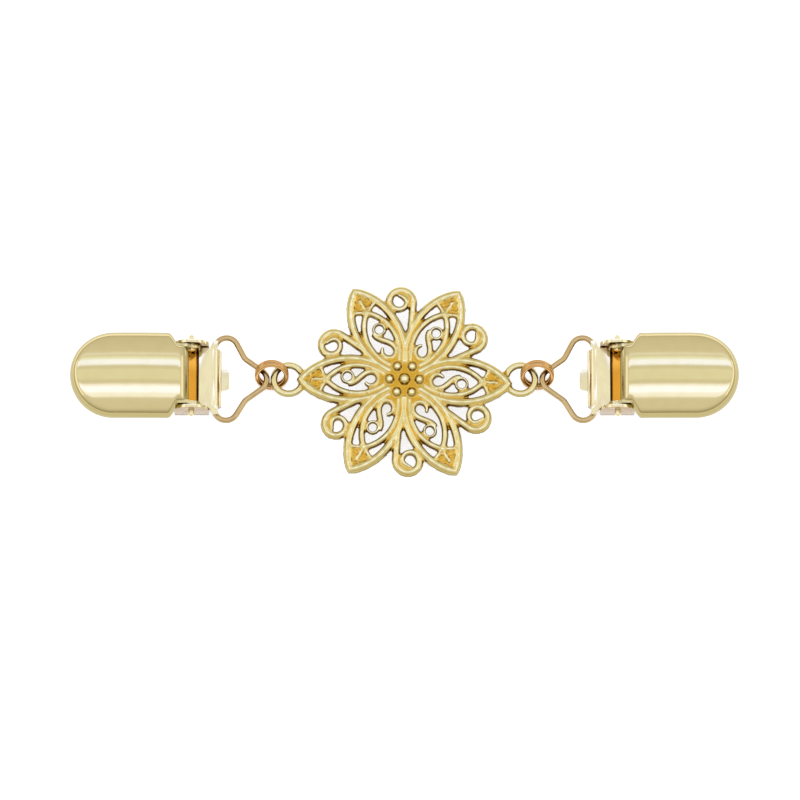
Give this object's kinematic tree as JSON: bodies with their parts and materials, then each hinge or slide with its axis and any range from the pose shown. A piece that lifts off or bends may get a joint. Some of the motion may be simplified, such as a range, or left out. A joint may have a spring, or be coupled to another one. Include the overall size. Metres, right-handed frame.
{
  "type": "sweater clip",
  "caption": "Pierced cast flower between two lever-action clips, joined by wire loops and jump rings, which holds the fronts of a cardigan together.",
  "frame": {"origin": "on the ground under the middle of the flower, with the clip lying on its back", "axes": "+X along the length towards the right clip, +Y up the flower as it is worn, +Z out of the front"},
  "size_m": [0.13, 0.0376, 0.0094],
  "materials": {
    "cast_gold": "gold-plated zinc casting, polished on its ribs, grained in its sunk floors",
    "ring_gold": "deep gold-plated steel wire, polished",
    "wire_gold": "gold-plated steel wire, polished",
    "sheet_gold": "pale gold-plated sheet steel, polished",
    "cover_gold": "pale champagne gold-plated sheet steel, smooth polished"
  },
  "bodies": {
    "chain": {"flower": "cast_gold", "left_jump_ring_upper": "ring_gold", "left_jump_ring_lower": "ring_gold", "right_jump_ring_upper": "ring_gold", "right_jump_ring_lower": "ring_gold", "left_wire_loop": "wire_gold", "right_wire_loop": "wire_gold"},
    "left_clip": {"left_clip_body": "sheet_gold"},
    "right_clip": {"right_clip_body": "sheet_gold"},
    "left_lever": {"left_cover_lever": "cover_gold", "left_stud_back": "sheet_gold", "left_stud_front": "sheet_gold"},
    "right_lever": {"right_cover_lever": "cover_gold", "right_stud_back": "sheet_gold", "right_stud_front": "sheet_gold"},
    "left_jaw": {"left_jaw_plate": "sheet_gold"},
    "right_jaw": {"right_jaw_plate": "sheet_gold"}
  },
  "joints": [
    {"name": "left_clip_swing", "type": "hinge", "parent": "chain", "child": "left_clip", "pos_m": [-0.03701, 0.0007, 0.0021], "axis": [0, 1, 0], "range_deg": [-60, 20]},
    {"name": "right_clip_swing", "type": "hinge", "parent": "chain", "child": "right_clip", "pos_m": [0.03701, 0.0007, 0.0021], "axis": [0, -1, 0], "range_deg": [-60, 20]},
    {"name": "left_lever_lift", "type": "hinge", "parent": "left_clip", "child": "left_lever", "pos_m": [-0.0414, 0.0007, 0.005], "axis": [0, 1, 0], "range_deg": [0, 95]},
    {"name": "right_lever_lift", "type": "hinge", "parent": "right_clip", "child": "right_lever", "pos_m": [0.0414, 0.0007, 0.005], "axis": [0, -1, 0], "range_deg": [0, 95]},
    {"name": "left_jaw_rise", "type": "hinge", "parent": "left_clip", "child": "left_jaw", "pos_m": [-0.03625, 0.0007, 0.00095], "axis": [0, 1, 0], "range_deg": [0, 4.3]},
    {"name": "right_jaw_rise", "type": "hinge", "parent": "right_clip", "child": "right_jaw", "pos_m": [0.03625, 0.0007, 0.00095], "axis": [0, -1, 0], "range_deg": [0, 4.3]}
  ],
  "couplings": [
    {"joint": "left_jaw_rise", "follows": "left_lever_lift", "ratio": 0.045},
    {"joint": "right_jaw_rise", "follows": "right_lever_lift", "ratio": 0.045}
  ]
}
